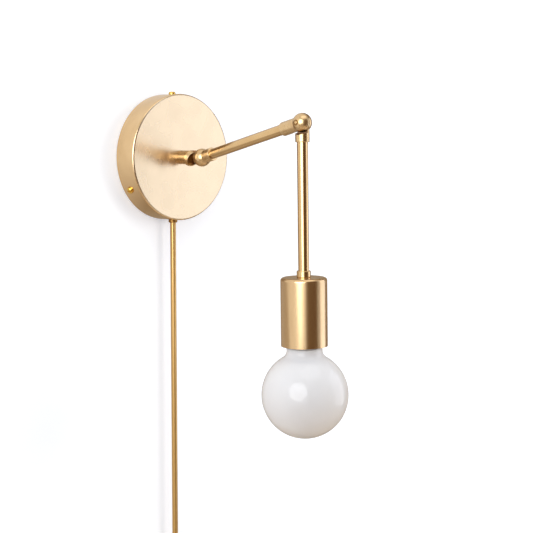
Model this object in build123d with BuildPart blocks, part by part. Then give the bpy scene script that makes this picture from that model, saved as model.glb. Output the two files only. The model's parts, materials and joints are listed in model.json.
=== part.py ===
"""Plug-in wall sconce: canopy, two-knuckle brass arm, socket cup, globe bulb and corded plug.

Millimetres. The origin is the centre of the wall plate's back on the wall.
+Z is up, +Y goes into the wall and +X is to the right of someone who faces the wall.
"""

import os
from math import atan2, cos, dist, pi, radians, sin, sqrt, tan

from build123d import *

os.makedirs("parts", exist_ok=True)

# Canopy and what holds it to the wall
canopy_dia = 127.0
canopy_depth = 25.4
canopy_wall = 1.2
canopy_edge = 2.0
rim_screw_count = 3
rim_screw_start = 90.0
rim_screw_dia = 3.0
rim_screw_head_dia = 7.0
rim_screw_head_height = 2.5
rim_screw_dome = 1.7
rim_screw_length = 7.0
rim_screw_height = 10.6
screw_slot_width = 1.0
screw_slot_depth = 1.1
plate_thickness = 2.0
plate_hub_dia = 44.0
plate_arm_width = 16.0
plate_tab_length = 18.0
wall_screw_circle = 70.0
wall_screw_hole_dia = 5.0

# Swivels, arm and drop
base_length = 29.6
base_stem_dia = 14.0
base_scoop = 17.0
base_ring_dia = 15.8
base_ring_length = 5.0
base_ring_out = 14.6
ball_dia = 17.8
seam = 0.6
collar_dia = 13.0
collar_edge = 0.6
arm_length = 138.0
arm_rise = 13.8
arm_inner_length = 16.0
arm_inner_scoop = 11.5
arm_outer_length = 24.0
arm_outer_scoop = 16.0
drop_lean = 1.0
drop_collar_length = 17.5
drop_scoop = 11.2
tube_dia = 10.0
tube_bore = 8.0
tube_seat = 4.0
wire_bore = 7.0
pivot_dia = 4.0
pivot_thread = 5.5
pivot_head_dia = 7.4
pivot_head_height = 2.2
pivot_floor = 3.6
pivot_key = 2.5
pivot_key_depth = 1.4
spring_washer_dia = 8.0
spring_washer_thickness = 0.8
friction_washer_dia = 15.0
nipple_dia = 9.6
nipple_seat = 8.0
nipple_past_nut = 1.5
nipple_washer_dia = 17.0
nipple_washer_thickness = 1.0
nut_width = 14.0
nut_thickness = 4.0

# Socket cup and lampholder, measured down the drop from the elbow
drop_length = 140.5
cup_collar_height = 6.0
cup_dia = 43.0
cup_height = 63.0
cup_wall = 1.0
cup_edge = 3.0
holder_dia = 34.0
holder_cap_height = 12.0
holder_cap_roof = 5.0
holder_wall = 3.0
holder_height = 42.0
holder_floor = 7.0
holder_edge = 1.0
tube_past_nut = 5.0
terminal_head_dia = 6.0
terminal_head_height = 2.5
terminal_spread = 20.0
shell_wall = 0.5
shell_recess = 3.0
contact_width = 5.0
contact_height = 9.5
contact_strip = 0.5
contact_foot = 6.0
contact_half_span = 8.0

# Globe bulb
globe_dia = 80.0
bulb_length = 115.0
bulb_neck_dia = 33.0
bulb_neck_blend = 8.0
bulb_shoulder_flat = 0.8
bulb_throat_dia = 24.4
bulb_throat_height = 4.0
glass_wall = 0.8
bulb_cap_dia = 26.2
bulb_cap_height = 22.0
bulb_cap_wall = 0.5
insulator_height = 4.8
insulator_top_dia = 10.0
bulb_contact_dia = 9.0
bulb_contact_height = 1.2

# Wires inside, cord, plug
wire_dia = 2.2
wire_half_gap = 2.2
lead_bend = 4.0
lead_half_gap = 1.4
splice_drop = 25.0
splice_half_gap = 1.6
connector_near = 17.0
connector_length = 16.0
connector_mouth_dia = 11.0
connector_tip_dia = 7.0
connector_bore = 6.4
connector_bore_depth = 9.0
wire_in_connector = 8.0
cord_dia = 6.0
cord_inside = 12.0
bushing_dia = 8.0
bushing_flange_dia = 9.0
bushing_flange_height = 3.0
bushing_nut_width = 12.0
bushing_nut_thickness = 3.0
coil_outer_radius = 45.0
coil_step = 6.6
coil_layer_step = 6.6
coil_half_turns_in = 6
coil_half_turns = 12
coil_tail = 20.0
plug_seat = 8.0
tie_thickness = 1.2
tie_width = 12.0
plug_boot_dia = 10.0
plug_boot_tip_dia = 7.6
plug_boot_length = 24.0
plug_width = 24.0
plug_thickness = 15.0
plug_length = 28.0
plug_shoulder = 16.0
plug_edge = 2.5
blade_spacing = 12.7
blade_thickness = 1.5
blade_width = 6.3
blade_length = 17.0
blade_seat = 6.0
blade_tip = 1.0

# Clearances
fit = 0.1
thread_clearance = 0.05
pivot_clearance = 0.05
cord_clearance = 0.15
loose_clearance = 0.3

# Places and planes worked out from the sizes above
canopy_radius = canopy_dia / 2
canopy_inner = canopy_radius - canopy_wall
ball_radius = ball_dia / 2
cord_out = rim_screw_height
pivot_out = canopy_depth + base_length
arm_run = arm_length * cos(radians(arm_rise))
arm_climb = arm_length * sin(radians(arm_rise))
base_pivot = Vector(0, -pivot_out, 0)
elbow_pivot = Vector(0, -pivot_out - arm_run, arm_climb)
arm_direction = Vector(0, -cos(radians(arm_rise)), sin(radians(arm_rise)))
drop_direction = Vector(0, -sin(radians(drop_lean)), -cos(radians(drop_lean)))
across = Vector(1, 0, 0)

# Out of the wall, seen from the front
wall_plane = Plane(origin=(0, 0, 0), x_dir=across, z_dir=(0, -1, 0))
# From a pivot along the stem of each knuckle half
base_plane = Plane(origin=base_pivot, x_dir=across, z_dir=(0, 1, 0))
arm_plane = Plane(origin=base_pivot, x_dir=across, z_dir=arm_direction)
arm_end_plane = Plane(origin=elbow_pivot, x_dir=across, z_dir=-arm_direction)
drop_plane = Plane(origin=elbow_pivot, x_dir=across, z_dir=drop_direction)
# Along the pivots, from the seam to the far side
base_pivot_plane = Plane(origin=base_pivot, x_dir=(0, 1, 0), z_dir=across)
elbow_pivot_plane = Plane(origin=elbow_pivot, x_dir=(0, 1, 0), z_dir=across)
# Down the cord from the canopy's rim
cord_plane = Plane(origin=(0, -cord_out, -canopy_radius), x_dir=across, z_dir=(0, 0, -1))

upright = (Align.CENTER, Align.CENTER, Align.MIN)
near_side = -1
far_side = 1


# Canopy: a shallow pan, open towards the wall
with BuildPart(wall_plane) as canopy:
    Cylinder(canopy_radius, canopy_depth, align=upright)
    fillet(canopy.edges().sort_by(Axis.Y)[0], canopy_edge)
    offset(amount=-canopy_wall, openings=canopy.faces().sort_by(Axis.Y)[-1])
    Hole(nipple_dia / 2 + fit)
    with Locations((0, 0, rim_screw_height)):
        with PolarLocations(canopy_radius, rim_screw_count, rim_screw_start):
            Cylinder(
                rim_screw_dia / 2 + fit,
                4 * canopy_wall,
                rotation=(0, 90, 0),
                mode=Mode.SUBTRACT,
            )
    with Locations((0, -canopy_radius, cord_out)):
        Cylinder(
            bushing_dia / 2 + fit,
            4 * canopy_wall,
            rotation=(90, 0, 0),
            mode=Mode.SUBTRACT,
        )
canopy.part.label = "canopy"
export_step(canopy.part, "parts/canopy.step")

# Wall plate: hub, three arms and three tapped tabs just inside the canopy's rim
tab_face = sqrt((canopy_inner - loose_clearance) ** 2 - (plate_arm_width / 2) ** 2)
with BuildPart(wall_plane) as wall_plate:
    Cylinder(plate_hub_dia / 2, plate_thickness, align=upright)
    with PolarLocations(0, rim_screw_count, rim_screw_start):
        Box(
            tab_face,
            plate_arm_width,
            plate_thickness,
            align=(Align.MIN, Align.CENTER, Align.MIN),
        )
    with PolarLocations(tab_face, rim_screw_count, rim_screw_start):
        Box(
            plate_thickness,
            plate_arm_width,
            plate_tab_length,
            align=(Align.MAX, Align.CENTER, Align.MIN),
        )
    with PolarLocations(wall_screw_circle / 2, rim_screw_count, rim_screw_start):
        Hole(wall_screw_hole_dia / 2)
    with Locations((0, 0, rim_screw_height)):
        with PolarLocations(tab_face, rim_screw_count, rim_screw_start):
            Cylinder(
                rim_screw_dia / 2 + thread_clearance,
                4 * plate_thickness,
                rotation=(0, 90, 0),
                mode=Mode.SUBTRACT,
            )
wall_plate.part.label = "wall_plate"
export_step(wall_plate.part, "parts/wall_plate.step")

# Rim screws: domed heads with a straight slot
with BuildPart(wall_plane.offset(rim_screw_height)) as canopy_screws:
    with PolarLocations(canopy_radius, rim_screw_count, rim_screw_start):
        Cylinder(
            rim_screw_dia / 2,
            rim_screw_length,
            rotation=(0, -90, 0),
            align=upright,
        )
        Cylinder(
            rim_screw_head_dia / 2,
            rim_screw_head_height,
            rotation=(0, 90, 0),
            align=upright,
        )
    head_rims = canopy_screws.edges().filter_by(GeomType.CIRCLE)
    outer_rims = head_rims.filter_by(
        lambda edge: edge.arc_center.length > canopy_radius + rim_screw_head_height
    )
    fillet(outer_rims, rim_screw_dome)
    with PolarLocations(
        canopy_radius + rim_screw_head_height - screw_slot_depth,
        rim_screw_count,
        rim_screw_start,
    ):
        Box(
            2 * screw_slot_depth,
            screw_slot_width,
            2 * rim_screw_head_dia,
            align=(Align.MIN, Align.CENTER, Align.CENTER),
            mode=Mode.SUBTRACT,
        )
canopy_screws.part.label = "canopy_screws"
export_step(canopy_screws.part, "parts/canopy_screws.step")

# Threaded nipple with its washer and nut: they clamp the base knuckle to the canopy's face
face_inside = canopy_depth - canopy_wall
nut_inside = face_inside - nipple_washer_thickness - nut_thickness
nipple_start = nut_inside - nipple_past_nut
with BuildPart(wall_plane.offset(nipple_start)) as mounting_nipple:
    Cylinder(nipple_dia / 2, canopy_depth + nipple_seat - nipple_start, align=upright)
    Hole(wire_bore / 2)
mounting_nipple.part.label = "mounting_nipple"
export_step(mounting_nipple.part, "parts/mounting_nipple.step")

with BuildPart(wall_plane.offset(face_inside - nipple_washer_thickness)) as nipple_washer:
    Cylinder(nipple_washer_dia / 2, nipple_washer_thickness, align=upright)
    Hole(nipple_dia / 2 + fit)
nipple_washer.part.label = "nipple_washer"
export_step(nipple_washer.part, "parts/nipple_washer.step")

with BuildPart() as nipple_nut:
    with BuildSketch(wall_plane.offset(nut_inside)):
        RegularPolygon(nut_width / 2, 6, major_radius=False)
        Circle(nipple_dia / 2 + thread_clearance, mode=Mode.SUBTRACT)
    extrude(amount=nut_thickness)
nipple_nut.part.label = "nipple_nut"
export_step(nipple_nut.part, "parts/nipple_nut.step")


def knuckle_half(plane, side, stem_dia, stem_length, scoop, seat_dia, seat_depth):
    """Half a swivel ball on a bored stem, with the other side scooped clear for its mate.

    The near halves are tapped blind for the pivot screw, the far halves are bored through.
    """
    flat = (side * seam / 2, 0, 0)
    outward = (0, 90 * side, 0)
    inward = (0, -90 * side, 0)
    bore_start = sqrt(scoop**2 - (wire_bore / 2) ** 2)
    with BuildPart(plane) as half:
        Sphere(ball_radius)
        Cylinder(stem_dia / 2, stem_length, align=upright)
        rims = half.edges().filter_by(GeomType.CIRCLE)
        fillet(rims.sort_by(Axis(plane.origin, plane.z_dir))[-1], collar_edge)
        with Locations(Location(flat, inward)):
            Cylinder(scoop, stem_dia, align=upright, mode=Mode.SUBTRACT)
        with Locations((0, 0, bore_start)):
            Cylinder(wire_bore / 2, stem_length, align=upright, mode=Mode.SUBTRACT)
        with Locations((0, 0, stem_length - seat_depth)):
            Cylinder(seat_dia / 2, stem_length, align=upright, mode=Mode.SUBTRACT)
        if side == near_side:
            with Locations(Location(flat, outward)):
                Cylinder(
                    pivot_dia / 2 + thread_clearance,
                    pivot_thread + fit,
                    align=upright,
                    mode=Mode.SUBTRACT,
                )
        else:
            with Locations(Location(flat, outward)):
                Cylinder(
                    pivot_dia / 2 + pivot_clearance,
                    ball_dia,
                    align=upright,
                    mode=Mode.SUBTRACT,
                )
            with Locations(Location((side * pivot_floor, 0, 0), outward)):
                Cylinder(
                    spring_washer_dia / 2 + loose_clearance,
                    ball_dia,
                    align=upright,
                    mode=Mode.SUBTRACT,
                )
    return half


def pivot_screw(plane):
    """Screw with a hexagon key socket, its head sunk in the far half of the ball."""
    shank_start = -seam / 2 - pivot_thread
    head_start = pivot_floor + spring_washer_thickness
    with BuildPart(plane) as screw:
        with Locations((0, 0, shank_start)):
            Cylinder(pivot_dia / 2, head_start - shank_start, align=upright)
        with Locations((0, 0, head_start)):
            Cylinder(pivot_head_dia / 2, pivot_head_height, align=upright)
        with BuildSketch(plane.offset(head_start + pivot_head_height)):
            RegularPolygon(pivot_key / 2, 6, major_radius=False)
        extrude(amount=-pivot_key_depth, mode=Mode.SUBTRACT)
    return screw


def pivot_ring(plane, start, thickness, outer_dia):
    """Flat ring round the pivot screw."""
    with BuildPart(plane.offset(start)) as ring:
        Cylinder(outer_dia / 2, thickness, align=upright)
        Hole(pivot_dia / 2 + fit)
    return ring


# First swivel: the far half stands on the canopy, the near half is on the arm
base_knuckle = knuckle_half(
    base_plane,
    far_side,
    base_stem_dia,
    base_length,
    base_scoop,
    nipple_dia + 2 * thread_clearance,
    nipple_seat + fit,
)
base_knuckle.part.label = "base_knuckle"
export_step(base_knuckle.part, "parts/base_knuckle.step")

# Grip ring round the end of the stem, to hold it while the arm is turned
with BuildPart(base_plane.offset(base_ring_out)) as base_ring:
    Cylinder(base_ring_dia / 2, base_ring_length, align=upright)
    fillet(base_ring.edges().filter_by(GeomType.CIRCLE), collar_edge)
    Hole(base_stem_dia / 2 + fit)
base_ring.part.label = "base_ring"
export_step(base_ring.part, "parts/base_ring.step")

arm_inner_knuckle = knuckle_half(
    arm_plane,
    near_side,
    collar_dia,
    arm_inner_length,
    arm_inner_scoop,
    tube_dia + 2 * thread_clearance,
    tube_seat,
)
arm_inner_knuckle.part.label = "arm_inner_knuckle"
export_step(arm_inner_knuckle.part, "parts/arm_inner_knuckle.step")

base_pivot_screw = pivot_screw(base_pivot_plane)
base_pivot_screw.part.label = "base_pivot_screw"
export_step(base_pivot_screw.part, "parts/base_pivot_screw.step")

base_spring_washer = pivot_ring(
    base_pivot_plane, pivot_floor, spring_washer_thickness, spring_washer_dia
)
base_spring_washer.part.label = "base_spring_washer"
export_step(base_spring_washer.part, "parts/base_spring_washer.step")

base_friction_washer = pivot_ring(base_pivot_plane, -seam / 2, seam, friction_washer_dia)
base_friction_washer.part.label = "base_friction_washer"
export_step(base_friction_washer.part, "parts/base_friction_washer.step")

# Arm tube between the two collars of the arm
with BuildPart(arm_plane.offset(arm_inner_length - tube_seat)) as arm_tube:
    Cylinder(
        tube_dia / 2,
        arm_length - arm_inner_length - arm_outer_length + 2 * tube_seat,
        align=upright,
    )
    Hole(tube_bore / 2)
arm_tube.part.label = "arm_tube"
export_step(arm_tube.part, "parts/arm_tube.step")

# Elbow: the near half is on the arm, the far half carries the drop
arm_outer_knuckle = knuckle_half(
    arm_end_plane,
    near_side,
    collar_dia,
    arm_outer_length,
    arm_outer_scoop,
    tube_dia + 2 * thread_clearance,
    tube_seat,
)
arm_outer_knuckle.part.label = "arm_outer_knuckle"
export_step(arm_outer_knuckle.part, "parts/arm_outer_knuckle.step")

drop_knuckle = knuckle_half(
    drop_plane,
    far_side,
    collar_dia,
    drop_collar_length,
    drop_scoop,
    tube_dia + 2 * thread_clearance,
    tube_seat,
)
drop_knuckle.part.label = "drop_knuckle"
export_step(drop_knuckle.part, "parts/drop_knuckle.step")

elbow_pivot_screw = pivot_screw(elbow_pivot_plane)
elbow_pivot_screw.part.label = "elbow_pivot_screw"
export_step(elbow_pivot_screw.part, "parts/elbow_pivot_screw.step")

elbow_spring_washer = pivot_ring(
    elbow_pivot_plane, pivot_floor, spring_washer_thickness, spring_washer_dia
)
elbow_spring_washer.part.label = "elbow_spring_washer"
export_step(elbow_spring_washer.part, "parts/elbow_spring_washer.step")

elbow_friction_washer = pivot_ring(elbow_pivot_plane, -seam / 2, seam, friction_washer_dia)
elbow_friction_washer.part.label = "elbow_friction_washer"
export_step(elbow_friction_washer.part, "parts/elbow_friction_washer.step")

# Drop tube: it passes through the cup's roof, the nut and into the lampholder's cap
cup_ceiling = drop_length + cup_wall
holder_top = cup_ceiling + nut_thickness
tube_start = drop_collar_length - tube_seat
tube_end = holder_top + tube_past_nut
with BuildPart(drop_plane.offset(tube_start)) as drop_tube:
    Cylinder(tube_dia / 2, tube_end - tube_start, align=upright)
    Hole(tube_bore / 2)
drop_tube.part.label = "drop_tube"
export_step(drop_tube.part, "parts/drop_tube.step")

with BuildPart(drop_plane.offset(drop_length - cup_collar_height)) as cup_collar:
    Cylinder(collar_dia / 2, cup_collar_height, align=upright)
    fillet(cup_collar.edges().filter_by(GeomType.CIRCLE), collar_edge)
    Hole(tube_dia / 2 + thread_clearance)
cup_collar.part.label = "cup_collar"
export_step(cup_collar.part, "parts/cup_collar.step")

drop_axis = Axis(elbow_pivot, drop_direction)
with BuildPart(drop_plane.offset(drop_length)) as socket_cup:
    Cylinder(cup_dia / 2, cup_height, align=upright)
    fillet(socket_cup.edges().filter_by(GeomType.CIRCLE).sort_by(drop_axis)[0], cup_edge)
    offset(amount=-cup_wall, openings=socket_cup.faces().sort_by(drop_axis)[-1])
    Hole(tube_dia / 2 + fit)
socket_cup.part.label = "socket_cup"
export_step(socket_cup.part, "parts/socket_cup.step")

with BuildPart() as cup_nut:
    with BuildSketch(drop_plane.offset(cup_ceiling)):
        RegularPolygon(nut_width / 2, 6, major_radius=False)
        Circle(tube_dia / 2 + thread_clearance, mode=Mode.SUBTRACT)
    extrude(amount=nut_thickness)
cup_nut.part.label = "cup_nut"
export_step(cup_nut.part, "parts/cup_nut.step")

# Lampholder: a cap on the tube's end, a moulded body, the screw shell and the contact
body_top = holder_top + holder_cap_height
shell_top = body_top + holder_floor
shell_height = holder_height - holder_floor - shell_recess
with BuildPart(drop_plane.offset(holder_top)) as lampholder_cap:
    Cylinder(holder_dia / 2, holder_cap_height, align=upright)
    fillet(lampholder_cap.edges().filter_by(GeomType.CIRCLE).sort_by(drop_axis)[0], holder_edge)
    with Locations((0, 0, holder_cap_roof)):
        Cylinder(
            holder_dia / 2 - holder_wall,
            holder_cap_height,
            align=upright,
            mode=Mode.SUBTRACT,
        )
    Hole(tube_dia / 2 + thread_clearance)
lampholder_cap.part.label = "lampholder_cap"
export_step(lampholder_cap.part, "parts/lampholder_cap.step")

shell_outer = bulb_cap_dia / 2 + loose_clearance + shell_wall
with BuildPart(drop_plane.offset(body_top)) as lampholder_body:
    Cylinder(holder_dia / 2, holder_height, align=upright)
    fillet(lampholder_body.edges().filter_by(GeomType.CIRCLE).sort_by(drop_axis)[-1], holder_edge)
    with Locations((0, 0, holder_floor)):
        Cylinder(shell_outer + fit, holder_height, align=upright, mode=Mode.SUBTRACT)
lampholder_body.part.label = "lampholder_body"
export_step(lampholder_body.part, "parts/lampholder_body.step")

with BuildPart(drop_plane.offset(body_top - terminal_head_height)) as terminal_screws:
    with Locations((-terminal_spread / 2, 0), (terminal_spread / 2, 0)):
        Cylinder(terminal_head_dia / 2, terminal_head_height, align=upright)
        Box(
            2 * terminal_head_dia,
            screw_slot_width,
            2 * screw_slot_depth,
            mode=Mode.SUBTRACT,
        )
terminal_screws.part.label = "terminal_screws"
export_step(terminal_screws.part, "parts/terminal_screws.step")

with BuildPart(drop_plane.offset(shell_top)) as socket_shell:
    Cylinder(shell_outer, shell_height, align=upright)
    Cylinder(shell_outer - shell_wall, shell_height, align=upright, mode=Mode.SUBTRACT)
socket_shell.part.label = "socket_shell"
export_step(socket_shell.part, "parts/socket_shell.step")

# Centre contact: a strip that lies on the shell's floor and springs down to the bulb's tip
bulb_tip = shell_top + contact_height
contact_reach = contact_height - fit - contact_strip / 2
shell_floor = drop_plane.offset(shell_top)
strip_plane = Plane(origin=shell_floor.origin, x_dir=across, z_dir=shell_floor.y_dir)
with BuildPart() as centre_contact:
    with BuildSketch(strip_plane):
        with BuildLine():
            Polyline(
                (-contact_half_span, -contact_strip / 2),
                (-contact_half_span + contact_foot, -contact_strip / 2),
                (-contact_strip, -contact_reach),
                (contact_foot / 2, -contact_reach),
            )
        trace(line_width=contact_strip)
    extrude(amount=contact_width / 2, both=True)
centre_contact.part.label = "centre_contact"
export_step(centre_contact.part, "parts/centre_contact.step")

# Globe bulb, seated with its tip on the centre contact
bulb_plane = Plane(origin=drop_plane.origin, x_dir=across, z_dir=drop_plane.y_dir)
globe_centre = bulb_tip + bulb_length - globe_dia / 2
cap_top = bulb_tip + bulb_contact_height + insulator_height
cap_end = cap_top + bulb_cap_height


def glass_form(inset):
    """Solid of the glass: a globe that blends into a neck, cut off at the cap, and the throat in it."""
    globe = globe_dia / 2 - inset
    neck = bulb_neck_dia / 2 - inset
    blend = bulb_neck_blend + inset
    throat = bulb_throat_dia / 2 - inset
    bottom = globe_centre + globe
    shoulder = cap_end + inset
    blend_start = globe_centre - sqrt((globe + blend) ** 2 - (neck + blend) ** 2)
    neck_start = blend_start - bulb_length
    meet = (neck + blend) * globe / (globe + blend)
    meet_depth = globe_centre - sqrt(globe**2 - meet**2)
    turn = atan2(globe_centre - blend_start, neck + blend)
    waist = (neck + blend - blend * cos(turn / 2), -blend_start - blend * sin(turn / 2))
    with BuildPart() as form:
        with BuildSketch(bulb_plane):
            with BuildLine():
                Polyline((0, -bottom), (0, -neck_start), (neck, -neck_start), (neck, -blend_start))
                ThreePointArc((neck, -blend_start), waist, (meet, -meet_depth))
                ThreePointArc((meet, -meet_depth), (globe, -globe_centre), (0, -bottom))
            make_face()
        revolve(axis=drop_axis)
        with Locations(drop_plane.offset(neck_start)):
            Cylinder(globe_dia, shoulder - neck_start, align=upright, mode=Mode.SUBTRACT)
        rims = form.edges().filter_by(GeomType.CIRCLE)
        chamfer(rims.sort_by(drop_axis)[0], neck - throat - bulb_shoulder_flat)
        with Locations(drop_plane.offset(cap_end - bulb_throat_height)):
            Cylinder(throat, bulb_throat_height + inset, align=upright)
    return form


glass_outside = glass_form(0)
glass_inside = glass_form(glass_wall)
with BuildPart() as bulb_globe:
    add(glass_outside.part)
    add(glass_inside.part, mode=Mode.SUBTRACT)
bulb_globe.part.label = "bulb_globe"
export_step(bulb_globe.part, "parts/bulb_globe.step")

with BuildPart(drop_plane.offset(cap_top)) as bulb_cap:
    Cylinder(bulb_cap_dia / 2, bulb_cap_height, align=upright)
    with Locations((0, 0, bulb_cap_wall)):
        Cylinder(
            bulb_cap_dia / 2 - bulb_cap_wall,
            bulb_cap_height,
            align=upright,
            mode=Mode.SUBTRACT,
        )
bulb_cap.part.label = "bulb_cap"
export_step(bulb_cap.part, "parts/bulb_cap.step")

with BuildPart(drop_plane.offset(bulb_tip + bulb_contact_height)) as bulb_insulator:
    Cone(
        insulator_top_dia / 2,
        bulb_cap_dia / 2 - bulb_cap_wall,
        insulator_height,
        align=upright,
    )
bulb_insulator.part.label = "bulb_insulator"
export_step(bulb_insulator.part, "parts/bulb_insulator.step")

with BuildPart(drop_plane.offset(bulb_tip)) as bulb_contact:
    Cylinder(bulb_contact_dia / 2, bulb_contact_height, align=upright)
bulb_contact.part.label = "bulb_contact"
export_step(bulb_contact.part, "parts/bulb_contact.step")

# Straight pairs of wires in the tubes: each stops in the throat of its knuckle
with BuildPart(arm_plane.offset(arm_inner_scoop)) as arm_wires:
    with Locations((-wire_half_gap, 0), (wire_half_gap, 0)):
        Cylinder(wire_dia / 2, arm_length - arm_inner_scoop - arm_outer_scoop, align=upright)
arm_wires.part.label = "arm_wires"
export_step(arm_wires.part, "parts/arm_wires.step")

with BuildPart(drop_plane.offset(drop_scoop)) as drop_wires:
    with Locations((-wire_half_gap, 0), (wire_half_gap, 0)):
        Cylinder(wire_dia / 2, body_top - drop_scoop, align=upright)
drop_wires.part.label = "drop_wires"
export_step(drop_wires.part, "parts/drop_wires.step")

# Leads in the canopy: from the cord up to the connectors, and from there into the nipple
cord_top = -(canopy_radius - cord_inside)
connector_end = connector_near + wire_in_connector
with BuildPart() as cord_leads:
    for side in (near_side, far_side):
        with BuildLine() as lead:
            FilletPolyline(
                (side * lead_half_gap, -cord_out, cord_top),
                (side * lead_half_gap, -cord_out, -splice_drop - splice_half_gap),
                (side * connector_end, -cord_out, -splice_drop - splice_half_gap),
                radius=lead_bend,
            )
        with BuildSketch(Plane(lead.line @ 0, z_dir=lead.line % 0)):
            Circle(wire_dia / 2)
        sweep(path=lead.line)
cord_leads.part.label = "cord_leads"
export_step(cord_leads.part, "parts/cord_leads.step")

with BuildPart() as lamp_leads:
    for side in (near_side, far_side):
        with BuildLine() as lead:
            FilletPolyline(
                (side * connector_end, -cord_out, -splice_drop + splice_half_gap),
                (side * wire_half_gap, -cord_out, -splice_drop + splice_half_gap),
                (side * wire_half_gap, -cord_out, 0),
                (side * wire_half_gap, -(pivot_out - base_scoop), 0),
                radius=lead_bend,
            )
        with BuildSketch(Plane(lead.line @ 0, z_dir=lead.line % 0)):
            Circle(wire_dia / 2)
        sweep(path=lead.line)
lamp_leads.part.label = "lamp_leads"
export_step(lamp_leads.part, "parts/lamp_leads.step")

with BuildPart() as wire_connectors:
    for side in (near_side, far_side):
        mouth = (side * connector_near, -cord_out, -splice_drop)
        with Locations(Location(mouth, (0, 90 * side, 0))):
            Cone(
                connector_mouth_dia / 2,
                connector_tip_dia / 2,
                connector_length,
                align=upright,
            )
            Cylinder(
                connector_bore / 2,
                connector_bore_depth,
                align=upright,
                mode=Mode.SUBTRACT,
            )
wire_connectors.part.label = "wire_connectors"
export_step(wire_connectors.part, "parts/wire_connectors.step")

# Cord bushing in the rim, with its nut inside
nut_corner = bushing_nut_width / 2 / cos(pi / 6)
nut_depth = canopy_radius - sqrt(canopy_inner**2 - nut_corner**2)
sleeve_length = nut_depth + bushing_nut_thickness
with BuildPart(cord_plane) as cord_bushing:
    Cylinder(bushing_flange_dia / 2, bushing_flange_height, align=upright)
    fillet(cord_bushing.edges().filter_by(GeomType.CIRCLE).sort_by(Axis.Z)[0], collar_edge)
    with Locations((0, 0, -sleeve_length)):
        Cylinder(bushing_dia / 2, sleeve_length, align=upright)
    Hole(cord_dia / 2 + cord_clearance)
cord_bushing.part.label = "cord_bushing"
export_step(cord_bushing.part, "parts/cord_bushing.step")

with BuildPart() as bushing_nut:
    with BuildSketch(cord_plane.offset(-sleeve_length)):
        RegularPolygon(bushing_nut_width / 2, 6, major_radius=False)
        Circle(bushing_dia / 2 + thread_clearance, mode=Mode.SUBTRACT)
    extrude(amount=bushing_nut_thickness)
bushing_nut.part.label = "bushing_nut"
export_step(bushing_nut.part, "parts/bushing_nut.step")

# Cord: straight down past the canopy, then a gentle bend to the coil
cord_route = [
    (0, -cord_out, cord_top),
    (0, -cord_out, -415),
    (-25, -cord_out, -457),
    (-25, -cord_out, -497),
]


def bend_radii(route):
    """Each bend as large as its two runs allow."""
    radii = []
    for before, corner, after in zip(route, route[1:], route[2:]):
        inbound = Vector(corner) - Vector(before)
        outbound = Vector(after) - Vector(corner)
        turn = radians(inbound.get_angle(outbound))
        radii.append(0.45 * min(inbound.length, outbound.length) / tan(turn / 2))
    return radii


cord_radii = bend_radii(cord_route)
print("cord bend radii", [round(radius, 1) for radius in cord_radii])
with BuildPart() as power_cord:
    with BuildLine() as cord_line:
        FilletPolyline(*cord_route, radius=cord_radii)
    with BuildSketch(Plane(cord_line.line @ 0, z_dir=cord_line.line % 0)):
        Circle(cord_dia / 2)
    sweep(path=cord_line.line)
cord_section = pi * cord_dia**2 / 4
cord_length = cord_line.wire().length
print("cord volume over section times length", power_cord.part.volume / (cord_section * cord_length))
power_cord.part.label = "power_cord"
export_step(power_cord.part, "parts/power_cord.step")

# Coil: half turns that spiral in on one layer, step over in the innermost one and spiral out
coil_left, coil_back, coil_entry = cord_route[-1]
coil_level = coil_entry - cord_dia
coil_front = coil_back - coil_layer_step
coil_points = [(coil_left, coil_back, coil_entry), (coil_left, coil_back, coil_level)]
coil_arcs = []
for half_turn in range(coil_half_turns):
    depth = min(half_turn, 2 * coil_half_turns_in - half_turn)
    radius = coil_outer_radius - depth * coil_step / 2
    heading = 1 if half_turn % 2 == 0 else -1
    start = Vector(coil_points[-1])
    layer = coil_back if half_turn < coil_half_turns_in else coil_front
    end = Vector(start.X + heading * 2 * radius, layer, coil_level)
    middle = (start + end) / 2 - Vector(0, 0, heading * (end - start).length / 2)
    coil_arcs.append((start, middle, end))
    coil_points.append(tuple(end))
coil_exit = Vector(coil_points[-1])
coil_end = coil_exit - Vector(0, 0, coil_tail + plug_seat)
with BuildPart() as cord_coil:
    with BuildLine() as coil_line:
        Line(coil_points[0], coil_points[1])
        for start, middle, end in coil_arcs:
            ThreePointArc(start, middle, end)
        Line(coil_exit, coil_end)
    with BuildSketch(Plane(coil_line.line @ 0, z_dir=coil_line.line % 0)):
        Circle(cord_dia / 2)
    sweep(path=coil_line.line)
cord_coil.part.label = "cord_coil"
export_step(cord_coil.part, "parts/cord_coil.step")

coil_path = coil_line.wire()
coil_length = coil_path.length
sample_count = int(coil_length / 2)
samples = [tuple(coil_path @ (i / sample_count)) for i in range(sample_count + 1)]
apart = int(2 * cord_dia)
coil_gap = min(
    dist(samples[i], samples[j])
    for i in range(len(samples))
    for j in range(i + apart, len(samples))
)
print("coil least gap to itself", round(coil_gap - cord_dia, 3))
print("coil volume over section times length", cord_coil.part.volume / (cord_section * coil_length))
print("cord length in all", round(cord_length + coil_length))

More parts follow.
